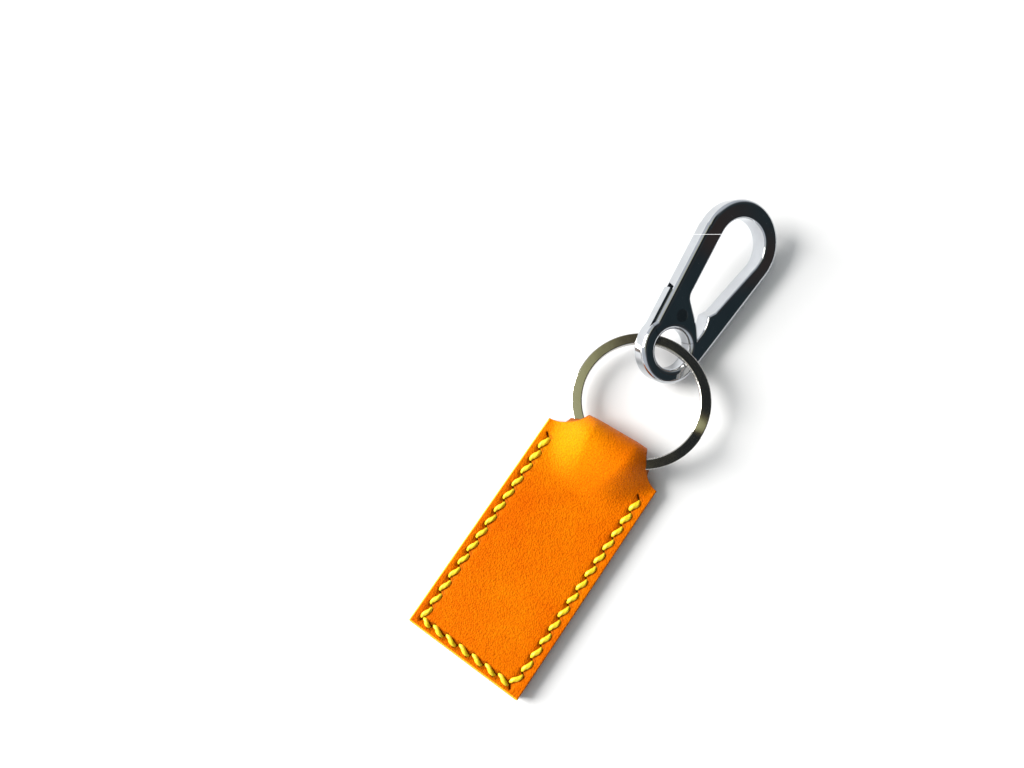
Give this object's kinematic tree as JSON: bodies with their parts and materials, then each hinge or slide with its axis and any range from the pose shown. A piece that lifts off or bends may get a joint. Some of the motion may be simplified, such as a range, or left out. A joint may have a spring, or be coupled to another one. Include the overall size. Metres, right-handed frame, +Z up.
{
  "type": "key fob",
  "caption": "Folded leather strap fob with saddle stitching round its edge, a flat split ring through its fold and a sprung snap clip on the ring.",
  "frame": {"origin": "centre of the bounding box's underside, in the plane the strap lies on", "axes": "+Y along the strap's length from its stitched end towards the clip; +Z up, out of the strap's front; +X to the right as seen from the front"},
  "size_m": [0.034, 0.1334, 0.0157],
  "materials": {
    "leather": "pebbled, satin",
    "thread": "waxed",
    "ring_steel": "polished",
    "clip_metal": "polished",
    "rivet_steel": "polished",
    "spring_steel": "drawn wire"
  },
  "bodies": {
    "strap": {"leather_strap": "leather", "saddle_thread": "thread"},
    "ring": {"split_ring": "ring_steel"},
    "clip": {"clip_frame": "clip_metal", "gate_spring": "spring_steel"},
    "gate": {"clip_gate": "clip_metal", "gate_rivet": "rivet_steel"}
  },
  "joints": [
    {"name": "ring_swing", "type": "hinge", "parent": "strap", "child": "ring", "pos_m": [0, -0.00415, 0.00505], "axis": [1, 0, 0], "range_deg": [-20, 30]},
    {"name": "clip_slide", "type": "hinge", "parent": "ring", "child": "clip", "pos_m": [0.0003, 0.0093, 0.00585], "axis": [-0.0698, -0.0505, 0.9963], "range_deg": [-70, 70]},
    {"name": "gate_pivot", "type": "hinge", "parent": "clip", "child": "gate", "pos_m": [-0.00444, 0.03179, 0.00865], "axis": [-0.523, 0.0345, -0.8517], "range_deg": [0, 14], "stiffness_Nm_per_rad": 0.02, "springref_deg": -68.75, "deforming": ["gate_spring"]}
  ]
}
